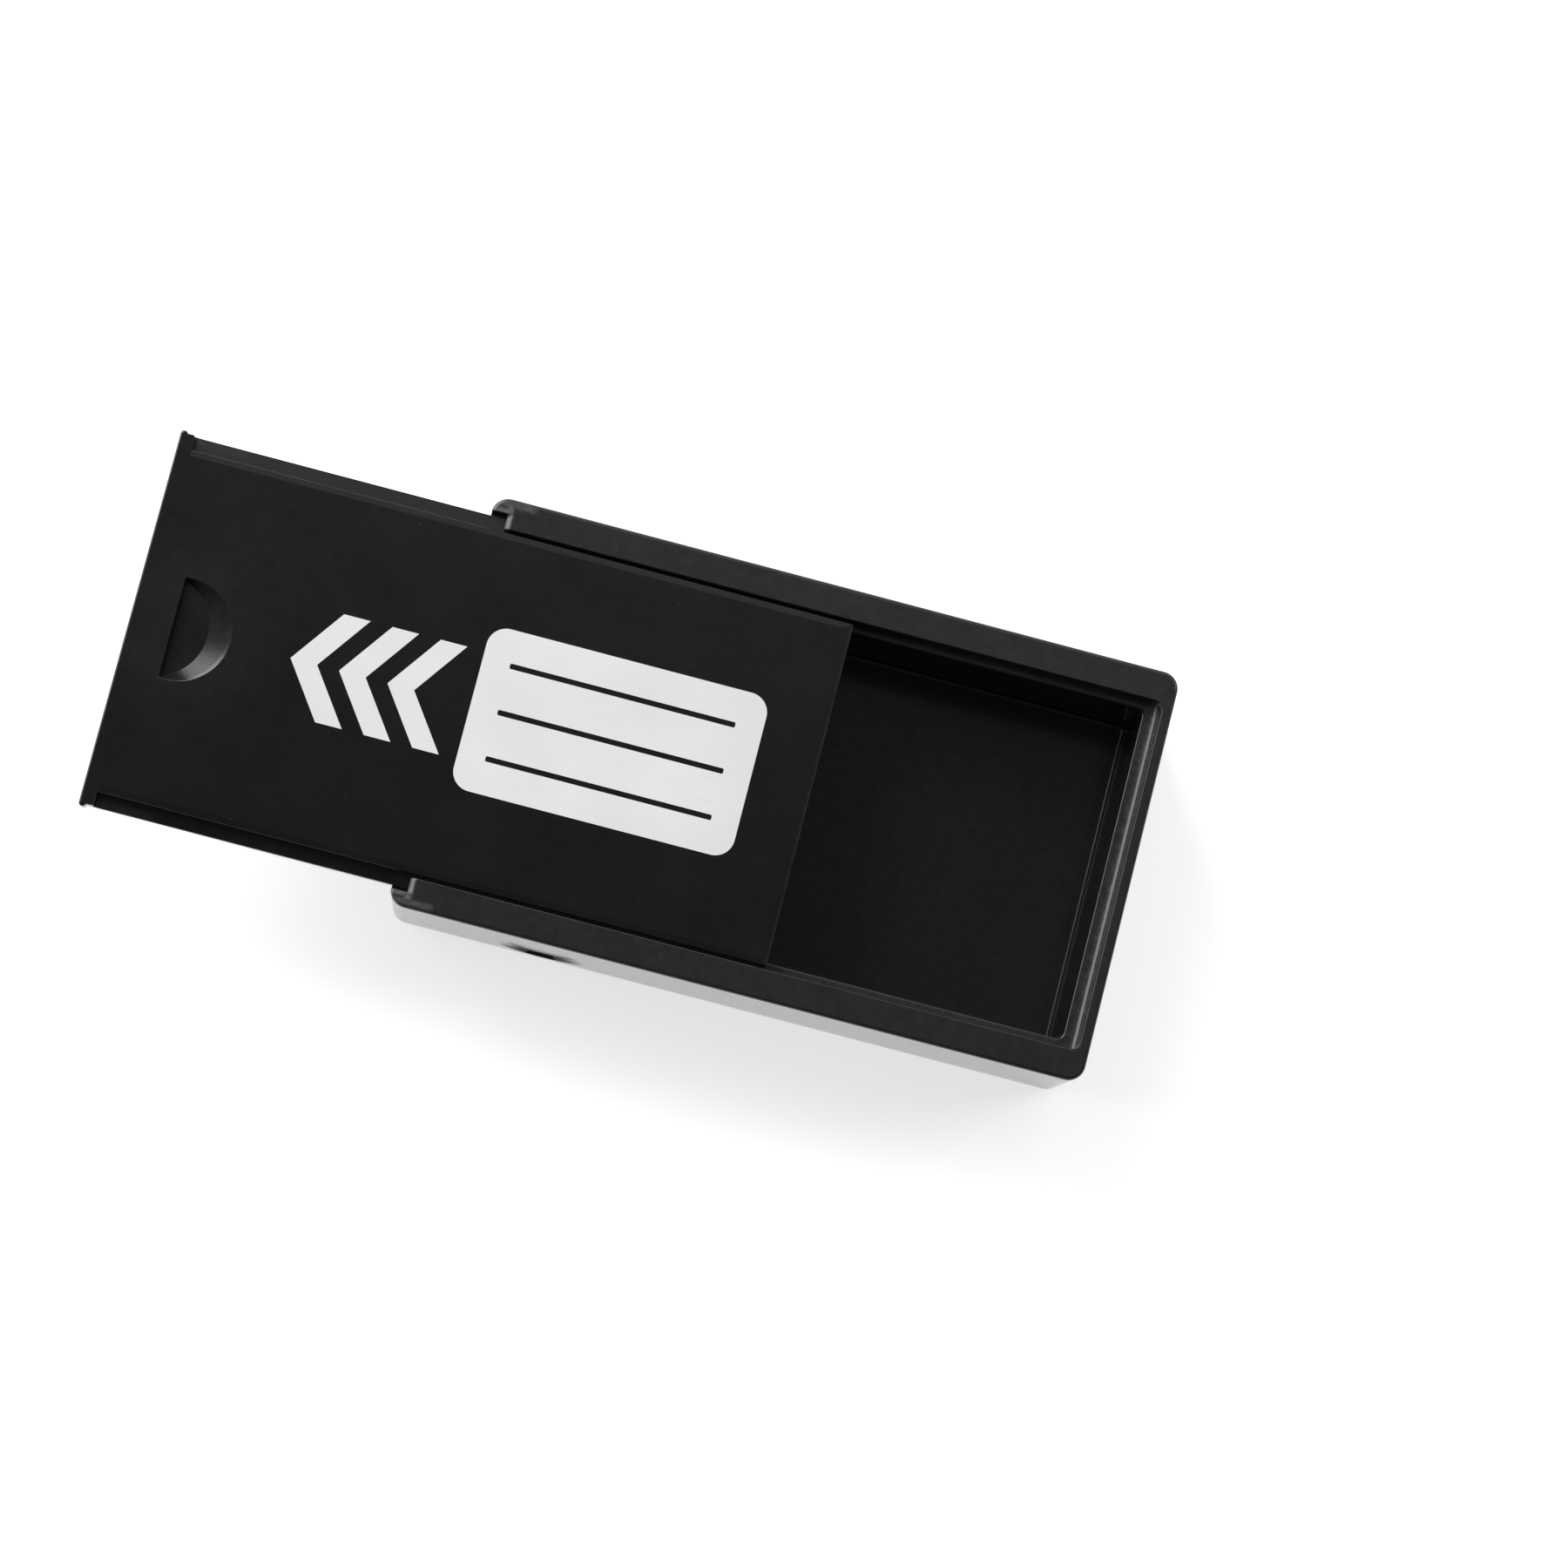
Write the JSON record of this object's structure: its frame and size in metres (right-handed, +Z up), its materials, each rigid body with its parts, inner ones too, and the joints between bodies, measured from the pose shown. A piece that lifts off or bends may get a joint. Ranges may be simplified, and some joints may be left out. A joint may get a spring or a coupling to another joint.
{
  "type": "magnetic key holder box",
  "caption": "Small black moulded box with a sliding lid in grooved rails and a flat magnet underneath, which hides a spare key on a steel surface.",
  "frame": {"origin": "middle of the magnet's lower face, which rests on the steel that the box is stuck to", "axes": "+X runs along the box from the mouth to the closed end, +Y across it, +Z up from the magnet through the lid; the lid opens towards -X"},
  "size_m": [0.1288, 0.053, 0.0226],
  "materials": {
    "box_plastic": "satin to glossy black moulded plastic, worn bright on the ledge at the closed end",
    "lid_plastic": "satin black moulded plastic with fine rubbing marks",
    "white_ink": "flat white pad-printed ink, slightly worn",
    "ferrite": "ground dark grey ferrite, matt",
    "adhesive": "dull set adhesive"
  },
  "bodies": {
    "box": {"box_shell": "box_plastic", "magnet": "ferrite", "magnet_adhesive": "adhesive"},
    "lid": {"sliding_lid": "lid_plastic", "lid_print": "white_ink"}
  },
  "joints": [
    {"name": "lid_slide", "type": "slide", "parent": "box", "child": "lid", "axis": [-1, 0, 0], "range_m": [-0.0398, 0.04]}
  ]
}
